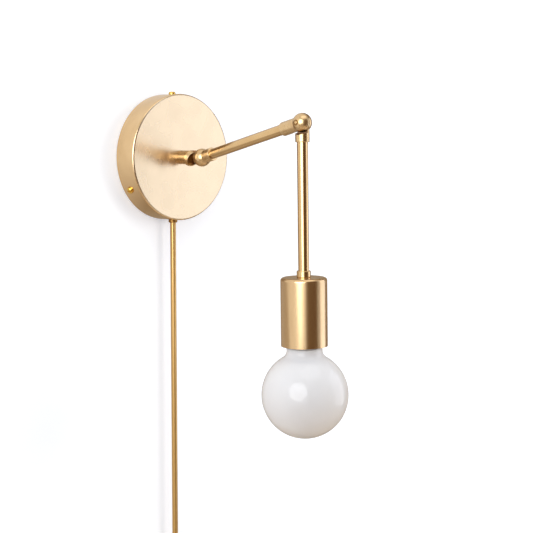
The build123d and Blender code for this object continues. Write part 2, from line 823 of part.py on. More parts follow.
# Tie: a flat strap round the right-hand side of the coil
right_points = [point[0] for point in coil_points[1:] if point[0] > coil_left + coil_outer_radius]
inner_radius = coil_outer_radius - coil_half_turns_in * coil_step / 2
sag = inner_radius - sqrt(inner_radius**2 - (tie_width / 2) ** 2)
tie_left = min(right_points) - cord_dia / 2 - sag - loose_clearance
tie_right = max(right_points) + cord_dia / 2 + loose_clearance
tie_near = coil_front - cord_dia / 2 - loose_clearance
tie_far = coil_back + cord_dia / 2 + loose_clearance
tie_centre = ((tie_left + tie_right) / 2, (tie_near + tie_far) / 2, coil_level)
with BuildPart() as cord_tie:
    with BuildSketch(Plane(origin=tie_centre)):
        RectangleRounded(
            tie_right - tie_left + 2 * tie_thickness,
            tie_far - tie_near + 2 * tie_thickness,
            2 * tie_thickness,
        )
        RectangleRounded(
            tie_right - tie_left,
            tie_far - tie_near,
            tie_thickness,
            mode=Mode.SUBTRACT,
        )
    extrude(amount=tie_width / 2, both=True)
cord_tie.part.label = "cord_tie"
export_step(cord_tie.part, "parts/cord_tie.step")

# Plug: a tapered boot and body along the coil's tail, with two flat blades
plug_plane = Plane(origin=coil_exit - Vector(0, 0, coil_tail), x_dir=across, z_dir=(0, 0, -1))
plug_face = plug_boot_length + plug_length
with BuildPart() as plug_body:
    with Locations(plug_plane):
        Cone(plug_boot_tip_dia / 2, plug_boot_dia / 2, plug_boot_length, align=upright)
    with BuildSketch(plug_plane.offset(plug_boot_length)):
        RectangleRounded(plug_shoulder, plug_thickness, plug_edge)
    with BuildSketch(plug_plane.offset(plug_face)):
        RectangleRounded(plug_width, plug_thickness, plug_edge)
    loft()
    with BuildSketch(plug_plane):
        Circle(cord_dia / 2 + cord_clearance)
    extrude(amount=plug_seat, mode=Mode.SUBTRACT)
    with BuildSketch(plug_plane.offset(plug_face)):
        with GridLocations(blade_spacing, 0, 2, 1):
            Rectangle(blade_thickness + fit, blade_width + fit)
    extrude(amount=-blade_seat, mode=Mode.SUBTRACT)
plug_body.part.label = "plug_body"
export_step(plug_body.part, "parts/plug_body.step")

with BuildPart() as plug_blades:
    with BuildSketch(plug_plane.offset(plug_face - blade_seat)):
        with GridLocations(blade_spacing, 0, 2, 1):
            Rectangle(blade_thickness, blade_width)
    extrude(amount=blade_seat + blade_length)
    tips = plug_blades.faces().group_by(Axis.Z)[0].edges().filter_by(Axis.X)
    chamfer(tips, blade_tip)
plug_blades.part.label = "plug_blades"
export_step(plug_blades.part, "parts/plug_blades.step")
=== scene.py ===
"""Looks of the plug-in wall sconce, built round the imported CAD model, in metres and in the same frame."""
import json
import math

import bpy
from mathutils import Matrix, Vector


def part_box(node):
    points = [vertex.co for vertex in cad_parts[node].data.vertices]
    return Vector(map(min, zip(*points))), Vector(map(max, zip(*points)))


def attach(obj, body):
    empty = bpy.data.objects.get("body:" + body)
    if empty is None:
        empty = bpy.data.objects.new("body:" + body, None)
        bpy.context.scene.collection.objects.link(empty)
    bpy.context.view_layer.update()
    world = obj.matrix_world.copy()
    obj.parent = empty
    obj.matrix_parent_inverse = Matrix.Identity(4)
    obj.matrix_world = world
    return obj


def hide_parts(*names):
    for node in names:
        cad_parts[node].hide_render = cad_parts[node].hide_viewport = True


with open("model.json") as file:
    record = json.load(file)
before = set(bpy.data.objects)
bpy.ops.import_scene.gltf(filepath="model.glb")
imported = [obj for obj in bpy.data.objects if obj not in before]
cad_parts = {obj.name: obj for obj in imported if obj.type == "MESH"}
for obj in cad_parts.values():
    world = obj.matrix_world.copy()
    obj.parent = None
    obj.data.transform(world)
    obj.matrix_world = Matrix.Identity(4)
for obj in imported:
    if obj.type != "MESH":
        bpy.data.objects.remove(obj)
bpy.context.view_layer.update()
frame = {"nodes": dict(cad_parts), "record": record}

scene = bpy.context.scene
scene.view_settings.view_transform = "Standard"
MM = 0.001

# Camera
# From the left of the sconce, about level with the canopy, and looking slightly down
CAMERA_PLACE = (-0.75638, -0.88098, 0.01696)
CAMERA_YAW = math.radians(45.743)
CAMERA_PITCH = -0.085
CAMERA_LENS = 76.18
CAMERA_SHIFT = -0.0563
CAMERA_SENSOR = 36
CAMERA_NEAR = 0.01

camera_data = bpy.data.cameras.new("photo_camera")
camera_data.sensor_width = CAMERA_SENSOR
camera_data.lens = CAMERA_LENS
camera_data.shift_y = CAMERA_SHIFT
camera_data.clip_start = CAMERA_NEAR
camera = bpy.data.objects.new("photo_camera", camera_data)
camera.location = CAMERA_PLACE
looking = Vector((
    math.sin(CAMERA_YAW) * math.cos(CAMERA_PITCH),
    math.cos(CAMERA_YAW) * math.cos(CAMERA_PITCH),
    math.sin(CAMERA_PITCH),
))
camera.rotation_euler = looking.to_track_quat("-Z", "Y").to_euler()
scene.collection.objects.link(camera)
scene.camera = camera

# Sizes of the CAD model, in millimetres
BASE_PIVOT = Vector((0, -55, 0))
ELBOW_PIVOT = Vector((0, -189.016, 32.918))
DROP_WAY = Vector((0, -0.017452, -0.999848))
CANOPY_FACE = 25.4
# The scoop sizes also bound the painted shade in the swivels' scoops
SCOOP_FLAT = 0.35
BASE_SCOOP = 17.0
DROP_SCOOP = 11.2
SCOOP_MARGIN = 0.4
RING_BACK = 35.4
RING_FRONT = 40.4
RING_RADIUS = 7.9
STEM_RADIUS = 7.0
CAP_TOP = 180.0
CAP_BOTTOM = 202.0
CAP_RADIUS = 13.1
CORD_RADIUS = 3.0
CORD_OUT = 10.6
CORD_TOP = -51.5
CORD_ROUTE = [
    (0, -CORD_OUT, CORD_TOP),
    (0, -CORD_OUT, -366.1),
    (0, -CORD_OUT, -415),
    (-25, -CORD_OUT, -457),
    (-25, -CORD_OUT, -497),
]
COIL_LEFT = -25
COIL_LEVEL = -503
COIL_FRONT = -17.2
COIL_RADIUS = 45
COIL_STEP = 6.6
HALF_TURNS_IN = 6
HALF_TURNS = 12
POINTS_A_HALF_TURN = 12
STEPS_A_POINT = 8
CORD_END = -531
PLUG_TOP = -523
BOOT_LENGTH = 24
CONNECTOR_PLACE = (0, -CORD_OUT, -25)
CONNECTOR_NEAR = 17


# Small helpers
def linear(code):
    """The linear colour of an sRGB hex value."""
    parts = [int(code[i:i + 2], 16) / 255 for i in (1, 3, 5)]
    return (*(part / 12.92 if part <= 0.04045 else ((part + 0.055) / 1.055) ** 2.4 for part in parts), 1)


def add_node(tree, kind, inputs=(), **settings):
    """Adds a node with its settings, each input set to a value or linked from a socket."""
    node = tree.nodes.new(kind)
    for name, value in settings.items():
        setattr(node, name, value)
    for name, value in dict(inputs).items():
        if isinstance(value, bpy.types.NodeSocket):
            tree.links.new(value, node.inputs[name])
        else:
            node.inputs[name].default_value = value
    return node


def new_material(name, **values):
    """A material with one surface shader, and these plain values on its sockets."""
    material = bpy.data.materials.new(name)
    material.use_nodes = True
    surface = material.node_tree.nodes["Principled BSDF"]
    for socket, value in values.items():
        surface.inputs[socket.replace("_", " ")].default_value = value
    return material, material.node_tree, surface


def bare_material(name):
    """A material without nodes, and its tree."""
    material = bpy.data.materials.new(name)
    material.use_nodes = True
    material.node_tree.nodes.clear()
    return material, material.node_tree


def skin(name, rings, looped=False, crease=40):
    """A closed mesh through rings of points, with UVs that count its cells around and along."""
    around, count = len(rings[0]), len(rings)
    faces, cells = [], []
    for j in range(count if looped else count - 1):
        here, there = j * around, (j + 1) % count * around
        for i in range(around):
            after = (i + 1) % around
            faces.append((here + i, here + after, there + after, there + i))
            cells += [(i, j), (i + 1, j), (i + 1, j + 1), (i, j + 1)]
    if not looped:
        faces.append(tuple(reversed(range(around))))
        faces.append(tuple(range((count - 1) * around, count * around)))
        cells += [(i, 0) for i in reversed(range(around))] + [(i, count - 1) for i in range(around)]
    mesh = bpy.data.meshes.new(name)
    mesh.from_pydata([tuple(point) for ring in rings for point in ring], [], faces)
    mesh.uv_layers.new(name="cells").data.foreach_set("uv", [value for cell in cells for value in cell])
    mesh.polygons.foreach_set("use_smooth", [True] * len(faces))
    if crease:
        mesh.set_sharp_from_angle(angle=math.radians(crease))
    return mesh


def turned(name, origin, axis, profile, around=48, looped=False):
    """A turned shape: rings at distances along an axis, with a radius or a function of the angle."""
    origin, axis = Vector(origin), Vector(axis)
    across = axis.orthogonal().normalized()
    over = axis.cross(across)
    rings = []
    for along, radius in profile:
        ring = []
        for i in range(around):
            angle = math.tau * i / around
            reach = radius(angle) if callable(radius) else radius
            spoke = across * math.cos(angle) + over * math.sin(angle)
            ring.append((origin + axis * along + spoke * reach) * MM)
        rings.append(ring)
    return skin(name, rings, looped)


def build_copies_tree():
    """A tree that sets out copies of a shape, each shifted and turned one step further than the last."""
    tree = bpy.data.node_groups.new("set_out_copies", "GeometryNodeTree")
    sockets = {
        "Geometry": "NodeSocketGeometry",
        "Count": "NodeSocketInt",
        "Start": "NodeSocketVector",
        "Shift": "NodeSocketVector",
        "Turn": "NodeSocketVector",
        "Finish": "NodeSocketMaterial",
    }
    for name, kind in sockets.items():
        tree.interface.new_socket(name, in_out="INPUT", socket_type=kind)
    tree.interface.new_socket("Geometry", in_out="OUTPUT", socket_type="NodeSocketGeometry")
    given = add_node(tree, "NodeGroupInput").outputs
    row = add_node(tree, "GeometryNodeMeshLine", {
        "Count": given["Count"], "Start Location": given["Start"], "Offset": given["Shift"],
    })
    index = add_node(tree, "GeometryNodeInputIndex")
    turn = add_node(tree, "ShaderNodeVectorMath", {
        0: given["Turn"], "Scale": index.outputs["Index"],
    }, operation="SCALE")
    copies = add_node(tree, "GeometryNodeInstanceOnPoints", {
        "Points": row.outputs["Mesh"],
        "Instance": given["Geometry"],
        "Rotation": turn.outputs["Vector"],
    })
    solid = add_node(tree, "GeometryNodeRealizeInstances", {"Geometry": copies.outputs["Instances"]})
    painted = add_node(tree, "GeometryNodeSetMaterial", {
        "Geometry": solid.outputs["Geometry"], "Material": given["Finish"],
    })
    add_node(tree, "NodeGroupOutput", {"Geometry": painted.outputs["Geometry"]})
    return tree


copies_tree = build_copies_tree()


def set_out(mesh, finish, count, start=(0, 0, 0), shift=(0, 0, 0), turn=(0, 0, 0)):
    """Copies of one shape in a row or a ring, as one plain mesh. Places are in metres."""
    maker = bpy.data.objects.new(mesh.name, mesh)
    scene.collection.objects.link(maker)
    modifier = maker.modifiers.new("copies", "NODES")
    modifier.node_group = copies_tree
    values = {"Count": count, "Start": start, "Shift": shift, "Turn": turn, "Finish": finish}
    for socket in copies_tree.interface.items_tree:
        if socket.in_out == "INPUT" and socket.name in values:
            value = values[socket.name]
            is_vector = socket.socket_type == "NodeSocketVector"
            modifier[socket.identifier] = [float(part) for part in value] if is_vector else value
    graph = bpy.context.evaluated_depsgraph_get()
    made = bpy.data.meshes.new_from_object(maker.evaluated_get(graph))
    bpy.data.objects.remove(maker)
    return made


def new_piece(name, mesh, body, slot, finish, *nodes):
    """Puts a finished mesh in the scene, on its body, in place of these CAD nodes."""
    piece = bpy.data.objects.new(name, mesh)
    scene.collection.objects.link(piece)
    mesh.materials.clear()
    mesh.materials.append(finish)
    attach(piece, body)
    if nodes:
        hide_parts(*nodes)
    return piece


# Materials
# Grain that is finer than a pixel, about a millimetre, is drawn as coarse as it needs to show
NOISE_DETAIL = 4.0
NOISE_LOW = 0.3
NOISE_HIGH = 0.7
LACQUERED_BRASS = {"Metallic": 1.0, "Coat_Weight": 0.8, "Coat_IOR": 1.8}
# How far behind the canopy's front the face's paler tone, a painted highlight, and its dulling start, and
# where they are full
FACE_TONE_FROM = 1.0
FACE_TONE_TO = 0.2
FACE_DULLER = 0.05
STRAP_RIB = 0.754
# A wave texture of scale 1 repeats at this distance
WAVE_REPEAT = math.tau / 20
# Half a check over, so that checks are centred on the yarns, and one back, so that raised yarns are pale
# Pale checks are a painted highlight on the raised yarns, dark checks painted shade in the gaps between
# them
CHECK_SHIFT = (0.5, 0.5, 1.25)


def uneven_surface(name, pale, deep, grain, gloss, relief=0.0, stretch=(1, 1, 1), **values):
    """A surface whose tone, gloss and relief are uneven, with its grain and relief in millimetres."""
    material, tree, surface = new_material(name, **values)
    place = add_node(tree, "ShaderNodeTexCoord")
    drawn = add_node(tree, "ShaderNodeMapping", {"Vector": place.outputs["Object"], "Scale": stretch})
    cloud = add_node(tree, "ShaderNodeTexNoise", {
        "Vector": drawn.outputs["Vector"], "Scale": 1 / (grain * MM), "Detail": NOISE_DETAIL,
    })
    share = add_node(tree, "ShaderNodeMapRange", {
        "Value": cloud.outputs["Fac"], "From Min": NOISE_LOW, "From Max": NOISE_HIGH,
    })
    tone = add_node(tree, "ShaderNodeMixRGB", {
        "Fac": share.outputs["Result"], "Color1": linear(pale), "Color2": linear(deep),
    })
    tree.links.new(tone.outputs["Color"], surface.inputs["Base Color"])
    rough = add_node(tree, "ShaderNodeMapRange", {
        "Value": share.outputs["Result"], "To Min": gloss[0], "To Max": gloss[1],
    })
    tree.links.new(rough.outputs["Result"], surface.inputs["Roughness"])
    if relief:
        bump = add_node(tree, "ShaderNodeBump", {
            "Height": cloud.outputs["Fac"], "Distance": relief * MM, "Strength": 1.0,
        })
        tree.links.new(bump.outputs["Normal"], surface.inputs["Normal"])
    return material, tree, surface, tone, place


def plain_finish(*look, **values):
    """The material alone, of an uneven surface that gets nothing more."""
    return uneven_surface(*look, **values)[0]


def over_tone(tree, surface, tone, mask, colour):
    """Lays another tone over a surface where a mask is 1."""
    laid = add_node(tree, "ShaderNodeMixRGB", {
        "Fac": mask, "Color1": tone.outputs["Color"], "Color2": linear(colour),
    })
    tree.links.new(laid.outputs["Color"], surface.inputs["Base Color"])


def canopy_brass():
    """Spun brass, satin finished and lacquered: a cloudy face, duller than the rim, and paler than it as a
    painted highlight.
    """
    material, tree, surface, tone, place = uneven_surface(
        "spun_satin_brass", "#E8C99C", "#DFBD8E", 22, (0.19, 0.25),
        Metallic=1.0, Coat_Weight=0.3, Coat_IOR=1.7, Coat_Roughness=0.22,
    )
    axes = add_node(tree, "ShaderNodeSeparateXYZ", {"Vector": place.outputs["Object"]})
    on_face = add_node(tree, "ShaderNodeMapRange", {
        "Value": axes.outputs["Y"],
        "From Min": -(CANOPY_FACE - FACE_TONE_FROM) * MM,
        "From Max": -(CANOPY_FACE - FACE_TONE_TO) * MM,
    })
    # Painted highlight: the face is toned paler than the rim
    over_tone(tree, surface, tone, on_face.outputs["Result"], "#DFCBAD")
    rough = surface.inputs["Roughness"].links[0].from_socket
    rougher = add_node(tree, "ShaderNodeMath", {
        0: on_face.outputs["Result"], 1: FACE_DULLER, 2: rough,
    }, operation="MULTIPLY_ADD")
    tree.links.new(rougher.outputs["Value"], surface.inputs["Roughness"])
    return material


def swivel_brass(name, centre, reach):
    """Turned brass with a soft shine, and a dark brown tone in the scoop as painted shade."""
    material, tree, surface, tone, place = uneven_surface(
        name, "#DFC08D", "#D3AE77", 3.0, (0.2, 0.27), 0.02,
        Coat_Roughness=0.2, **LACQUERED_BRASS,
    )
    away = add_node(tree, "ShaderNodeVectorMath", {
        0: place.outputs["Object"], 1: centre * MM,
    }, operation="DISTANCE")
    near = add_node(tree, "ShaderNodeMath", {
        0: away.outputs["Value"], 1: reach * MM,
    }, operation="LESS_THAN")
    axes = add_node(tree, "ShaderNodeSeparateXYZ", {"Vector": place.outputs["Object"]})
    inside = add_node(tree, "ShaderNodeMath", {
        0: axes.outputs["X"], 1: SCOOP_FLAT * MM,
    }, operation="LESS_THAN")
    both = add_node(tree, "ShaderNodeMath", {
        0: near.outputs["Value"], 1: inside.outputs["Value"],
    }, operation="MULTIPLY")
    # Painted shade: dark brown wherever the scoop lies within reach of the pivot, on the near side of the
    # middle plane
    over_tone(tree, surface, tone, both.outputs["Value"], "#7E562B")
    return material


def braid_cloth():
    """Rayon braid that shines like silk: raised yarns painted pale as a painted highlight, and the gaps
    between them painted dark as painted shade.
    """
    material, tree, surface = new_material(
        "gold_rayon_braid", Roughness=0.32, Metallic=0.85,
    )
    cells = add_node(tree, "ShaderNodeUVMap", uv_map="cells")
    centred = add_node(tree, "ShaderNodeMapping", {
        "Vector": cells.outputs["UV"], "Location": CHECK_SHIFT,
    })
    # Painted highlight and shade: pale on the raised yarns, dark in the gaps
    yarns = add_node(tree, "ShaderNodeTexChecker", {
        "Vector": centred.outputs["Vector"], "Scale": 1.0,
        "Color1": linear("#F0CB88"), "Color2": linear("#C79A57"),
    })
    tree.links.new(yarns.outputs["Color"], surface.inputs["Base Color"])
    return material


def strap_cloth():
    """Black nylon webbing: a fine matt rib across the strap."""
    material, tree, surface, tone, place = uneven_surface(
        "black_nylon_webbing", "#2B2A2A", "#161616", 1.2, (0.75, 0.9), 0.1, Sheen_Weight=0.4,
    )
    ribs = add_node(tree, "ShaderNodeTexWave", {
        "Vector": place.outputs["Object"], "Scale": WAVE_REPEAT / (STRAP_RIB * MM), "Distortion": 0.5,
    }, bands_direction="Z")
    over_tone(tree, surface, tone, ribs.outputs["Fac"], "#3A3838")
    return material


def lead_plastic():
    """Soft PVC wire covering: one lead dark, its mate golden brown, so that the two can be told apart."""
    material, tree, surface, tone, place = uneven_surface(
        "pvc_wire_covering", "#8A6A42", "#7A5C38", 4.0, (0.35, 0.45),
    )
    axes = add_node(tree, "ShaderNodeSeparateXYZ", {"Vector": place.outputs["Object"]})
    left = add_node(tree, "ShaderNodeMath", {0: axes.outputs["X"], 1: 0.0}, operation="LESS_THAN")
    over_tone(tree, surface, tone, left.outputs["Value"], "#1E1D1C")
    return material


satin_brass = canopy_brass()
# Drawn brass cup, satin finished along its height: a soft mirror with upright bands
cup_brass = plain_finish(
    "drawn_satin_brass", "#DFBD8D", "#D6B280", 9, (0.23, 0.28), stretch=(1, 1, 0.25),
    Coat_Roughness=0.2, **LACQUERED_BRASS,
)
# Drawn brass tube, polished and lacquered: sharper bands of light along its length
tube_brass = plain_finish(
    "polished_brass_tube", "#DFBC85", "#D6B077", 25, (0.15, 0.18),
    Coat_Roughness=0.12, **LACQUERED_BRASS,
)
base_brass = swivel_brass("turned_brass_base", BASE_PIVOT, BASE_SCOOP + SCOOP_MARGIN)
drop_brass = swivel_brass("turned_brass_drop", ELBOW_PIVOT, DROP_SCOOP + SCOOP_MARGIN)
# Turned brass knuckles, left with a fine lathe grain: a broad, soft highlight
knuckle_brass = plain_finish(
    "turned_brass_knuckle", "#E1C393", "#D3AF79", 2.5, (0.26, 0.32), 0.03,
    Coat_Roughness=0.28, **LACQUERED_BRASS,
)
# Brass toned dark brown as painted shade: the hollow end of the stem and the ring round the elbow's pivot
# tip
painted_shade_brass = plain_finish(
    "browned_knurled_brass", "#AA824A", "#7C562D", 1.5, (0.4, 0.5), Metallic=1.0,
)
# Darker, browner brass with a rough surface: the bushing reads as a soft brown ring
bushing_brass = plain_finish(
    "dull_turned_brass", "#B98E52", "#9A7038", 1.5, (0.38, 0.46), Metallic=1.0,
)
# Bright-dipped yellow brass screws: small sparkling domes
screw_brass = plain_finish(
    "bright_dipped_brass", "#F0CB6C", "#E2B455", 2.0, (0.1, 0.18), Metallic=1.0,
)
# Stamped brass strip, plain: slightly dull, with spots of tarnish
strip_brass = plain_finish(
    "stamped_brass_strip", "#D8B878", "#B79655", 2.5, (0.25, 0.4), Metallic=1.0,
)
# Zinc-plated steel: cool grey with a faint cloudy bloom
zinc_steel = plain_finish(
    "zinc_plated_steel", "#C9CCCF", "#A9AEB4", 5.0, (0.28, 0.42), Metallic=1.0,
)
# Rolled aluminium: pale and soft, with fine rolling marks round the cap
cap_aluminium = plain_finish(
    "rolled_aluminium", "#D9DADB", "#BFC1C3", 2.0, (0.25, 0.35), 0.01, (1, 1, 4), Metallic=1.0,
)
# Blown opal glass: milky right through, under a glossy skin
opal_glass = plain_finish(
    "blown_opal_glass", "#F3F4F7", "#EFF0F4", 30, (0.015, 0.03),
    Subsurface_Weight=0.2, Subsurface_Scale=0.012, Subsurface_Radius=(1, 1, 1),
)
# Black glass insulator: dark and glossy, with slight swirls
black_glass = plain_finish("black_vitrified_glass", "#17161A", "#0B0A0D", 3.0, (0.06, 0.12))
# Glazed porcelain: creamy white with faint pinholes in a wavy glaze
porcelain = plain_finish(
    "glazed_porcelain", "#F1EEE6", "#E4DFD3", 6.0, (0.1, 0.18), 0.05, Coat_Weight=0.5,
)
# Moulded thermoplastic: even and matt, with a fine sparked grain
connector_plastic = plain_finish(
    "moulded_nylon_connector", "#DE7B22", "#C9681A", 1.2, (0.42, 0.55), 0.03,
)
# Moulded vinyl plug: soft satin, tinted to go with the cord
plug_plastic = plain_finish("moulded_vinyl_plug", "#B08A4E", "#A07B42", 1.5, (0.45, 0.58), 0.03)
# Vulcanised fibre washers: dull grey-brown with paper fibres
fibre = plain_finish("vulcanised_fibre", "#4A3A2C", "#2E241B", 1.0, (0.7, 0.85), 0.03)
cord_cloth = braid_cloth()
tie_strap = strap_cloth()
wire_covering = lead_plastic()

slot_finish = {
    "satin_brass": satin_brass,
    "polished_brass": tube_brass,
    "bright_brass": screw_brass,
    "blade_brass": strip_brass,
    "zinc_steel": zinc_steel,
    "cap_aluminium": cap_aluminium,
    "opal_glass": opal_glass,
    "black_glass": black_glass,
    "porcelain": porcelain,
    "cord_cloth": cord_cloth,
    "tie_strap": tie_strap,
    "wire_insulation": wire_covering,
    "connector_plastic": connector_plastic,
    "plug_plastic": plug_plastic,
    "fibre": fibre,
}
node_finish = {
    "socket_cup": cup_brass,
    "base_knuckle": base_brass,
    "drop_knuckle": drop_brass,
    "arm_inner_knuckle": knuckle_brass,
    "arm_outer_knuckle": knuckle_brass,
    "cord_bushing": bushing_brass,
}
for subpart in frame["record"]["subparts"]:
    node = frame["nodes"][subpart["node"]]
    node.data.materials.clear()
    node.data.materials.append(node_finish.get(subpart["node"], slot_finish[subpart["material_slot"]]))


# Cord, with its tie and plug
def coil_points():
    """Control points of the coil: half turns that wind in on the back layer and out on the front one."""
    step = math.pi / POINTS_A_HALF_TURN
    widen = 1 / math.cos(step / 2)
    points = []
    left = COIL_LEFT
    for half_turn in range(HALF_TURNS):
        depth = min(half_turn, 2 * HALF_TURNS_IN - half_turn)
        radius = COIL_RADIUS - depth * COIL_STEP / 2
        heading = 1 if half_turn % 2 == 0 else -1
        centre = left + heading * radius
        layer = -CORD_OUT if half_turn <= HALF_TURNS_IN else COIL_FRONT
        crossing = COIL_FRONT + CORD_OUT if half_turn == HALF_TURNS_IN else 0
        for i in range(POINTS_A_HALF_TURN):
            angle = (i + 0.5) * step
            points.append((
                centre - heading * widen * radius * math.cos(angle),
                layer + crossing * (1 - math.cos(angle)) / 2,
                COIL_LEVEL - heading * widen * radius * math.sin(angle),
            ))
        left += heading * 2 * radius
    return points


def cord_line():
    """Points along the cord's smooth line, read from its spline."""
    controls = CORD_ROUTE + coil_points()
    controls += [(COIL_LEFT, COIL_FRONT, COIL_LEVEL), (COIL_LEFT, COIL_FRONT, CORD_END)]
    data = bpy.data.curves.new("cord_line", "CURVE")
    data.dimensions = "3D"
    data.resolution_u = STEPS_A_POINT
    spline = data.splines.new("NURBS")
    spline.points.add(len(controls) - 1)
    for point, place in zip(spline.points, controls):
        point.co = (*(value * MM for value in place), 1)
    spline.order_u = 3
    spline.use_endpoint_u = True
    guide = bpy.data.objects.new("cord_line", data)
    scene.collection.objects.link(guide)
    graph = bpy.context.evaluated_depsgraph_get()
    mesh = bpy.data.meshes.new_from_object(guide.evaluated_get(graph))
    line = [vertex.co.copy() for vertex in mesh.vertices]
    bpy.data.objects.remove(guide)
    return line


def even_points(line, step):
    """Points at even steps along a line."""
    points, carried = [line[0]], 0.0
    for start, end in zip(line, line[1:]):
        run = (end - start).length
        travelled = step - carried
        while travelled <= run:
            points.append(start.lerp(end, travelled / run))
            travelled += step
        carried = run - (travelled - step)
    return points


def braided_tube(name, line, radius, yarns, relief):
    """A tube along a line whose skin stands up and dips in turn, as braided yarns do."""
    rings = []
    across = (line[1] - line[0]).orthogonal().normalized()
    for j, point in enumerate(line):
        way = (line[min(j + 1, len(line) - 1)] - line[max(j - 1, 0)]).normalized()
        across = (across - way * across.dot(way)).normalized()
        over = way.cross(across)
        ring = []
        for i in range(yarns):
            angle = math.tau * i / yarns
            reach = radius - relief * ((i + j) % 2)
            ring.append(point + (across * math.cos(angle) + over * math.sin(angle)) * reach)
        rings.append(ring)
    return skin(name, rings, crease=None)


YARN_LENGTH = 1.1
YARNS = 20
YARN_RELIEF = 0.16
cord_path = cord_line()
braid = braided_tube(
    "cloth_cord", even_points(cord_path, YARN_LENGTH * MM), CORD_RADIUS * MM, YARNS, YARN_RELIEF * MM,
)
cord = new_piece("cloth_cord", braid, "wall", "cord_cloth", cord_cloth, "power_cord", "cord_coil")

# Tie: a webbing strap wrapped round the coil, its free end lapped over the front
STRAP_THICKNESS = 1.1
STRAP_EDGE = 0.35
STRAP_CORNER = 2.4
CORNER_STEPS = 6


def strap_section(point, outward, half_width):
    """The strap's cross-section at a point, with its edges rounded."""
    half = STRAP_THICKNESS / 2
    section = [
        (-half, half_width - STRAP_EDGE),
        (-half + STRAP_EDGE, half_width),
        (half - STRAP_EDGE, half_width),
        (half, half_width - STRAP_EDGE),
    ]
    section += [(-out, -up) for out, up in section]
    return [(point + outward * out + Vector((0, 0, up))) * MM for out, up in section]


tie_low, tie_high = (Vector(corner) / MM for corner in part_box("cord_tie"))
tie_middle = (tie_low + tie_high) / 2
half_tie = (tie_high - tie_low) / 2
strap_rings = []
for corner, (side_x, side_y) in enumerate(((1, 1), (-1, 1), (-1, -1), (1, -1))):
    bend = tie_middle + Vector((
        side_x * (half_tie.x - STRAP_CORNER), side_y * (half_tie.y - STRAP_CORNER), 0,
    ))
    for i in range(CORNER_STEPS + 1):
        angle = math.radians(90) * (corner + i / CORNER_STEPS)
        outward = Vector((math.cos(angle), math.sin(angle), 0))
        strap_rings.append(strap_section(
            bend + outward * (STRAP_CORNER - STRAP_THICKNESS / 2), outward, half_tie.z,
        ))
tie = new_piece(
    "coil_strap", skin("coil_strap", strap_rings, looped=True), "wall", "tie_strap", tie_strap, "cord_tie",
)
LAP_START = 6.0
LAP_LENGTH = 15.0
LAP_STEPS = 8
LAP_LIFT = 0.9
LAP_BITE = 0.1
LAP_NARROWER = 0.4
lap_rings = []
for i in range(LAP_STEPS + 1):
    share = i / LAP_STEPS
    lap_rings.append(strap_section(
        Vector((
            tie_low.x + LAP_START + LAP_LENGTH * share,
            tie_low.y - STRAP_THICKNESS / 2 + LAP_BITE - LAP_LIFT * share**3,
            tie_middle.z,
        )),
        Vector((0, -1, 0)), half_tie.z - LAP_NARROWER,
    ))
tie_end = new_piece("coil_strap_end", skin("coil_strap_end", lap_rings), "wall", "tie_strap", tie_strap)

# Plug: a ribbed boot that widens downwards, and a waisted body with grip ridges
CORD_HOLE = 3.05
BOOT_RADIUS = 3.8
BOOT_FLARE = 1.2
BOOT_RIBS = 6
RIB_GAP = 0.8
RIB_DEPTH = 0.75
RIB_ROUND = 0.25
RIB_SLOPE = 0.1
RIDGE_RADIUS = 0.55
RIDGE_HALF = 6.0
RIDGE_SPACING = 2.7
RIDGES = 5
RIDGE_OUT = 7.45
FIRST_RIDGE = 6
ROUND = 2
OUTLINE_POINTS = 48
# Distance below the boot, half width, half depth and squareness
PLUG_BODY = (
    (0, 4.6, 4.6, ROUND), (0, 6.6, 6.4, 3), (0.4, 7.5, 7.1, 4), (1.4, 8.0, 7.5, 5),
    (6, 8.3, 7.5, 5.5), (12, 9.0, 7.5, 6), (18, 10.4, 7.5, 6), (24, 11.7, 7.5, 6),
    (26.6, 12.0, 7.5, 6), (27.6, 11.7, 7.2, 6), (28, 11.0, 6.6, 6),
)
# Distance from a ridge's end, and radius
RIDGE_TIP = ((0, 0.1), (0.2, 0.4), (0.6, RIDGE_RADIUS))


def plug_section(down, half_x, half_y, squareness):
    """A section of the plug, from round at squareness 2 to nearly a rectangle at 6."""
    ring = []
    for i in range(OUTLINE_POINTS):
        angle = math.tau * i / OUTLINE_POINTS
        cosine, sine = math.cos(angle), math.sin(angle)
        ring.append(Vector((
            COIL_LEFT + half_x * math.copysign(abs(cosine) ** (2 / squareness), cosine),
            COIL_FRONT - half_y * math.copysign(abs(sine) ** (2 / squareness), sine),
            PLUG_TOP - down,
        )) * MM)
    return ring


plug_rings = [plug_section(0, CORD_HOLE, CORD_HOLE, ROUND)]
for rib in range(BOOT_RIBS):
    start = rib * BOOT_LENGTH / BOOT_RIBS
    end = start + BOOT_LENGTH / BOOT_RIBS - RIB_GAP
    rib_profile = (
        (start, RIB_ROUND), (start + RIB_ROUND, 0), (end - RIB_ROUND, 0), (end, RIB_ROUND),
        (end + RIB_SLOPE, RIB_DEPTH), (end + RIB_GAP - RIB_SLOPE, RIB_DEPTH),
    )
    for down, inset in rib_profile:
        radius = BOOT_RADIUS + BOOT_FLARE * down / BOOT_LENGTH - inset
        plug_rings.append(plug_section(down, radius, radius, ROUND))
plug_rings += [plug_section(BOOT_LENGTH + below, *form) for below, *form in PLUG_BODY]
plug = new_piece(
    "moulded_plug", skin("moulded_plug", plug_rings), "wall", "plug_plastic", plug_plastic, "plug_body",
)
ridge_profile = [(along - RIDGE_HALF, radius) for along, radius in RIDGE_TIP]
ridge_profile += [(-along, radius) for along, radius in reversed(ridge_profile)]
ridge = turned("grip_ridge", (0, -RIDGE_OUT, 0), (1, 0, 0), ridge_profile, around=10)
plug_middle = Vector((COIL_LEFT, COIL_FRONT, PLUG_TOP - BOOT_LENGTH - FIRST_RIDGE)) * MM
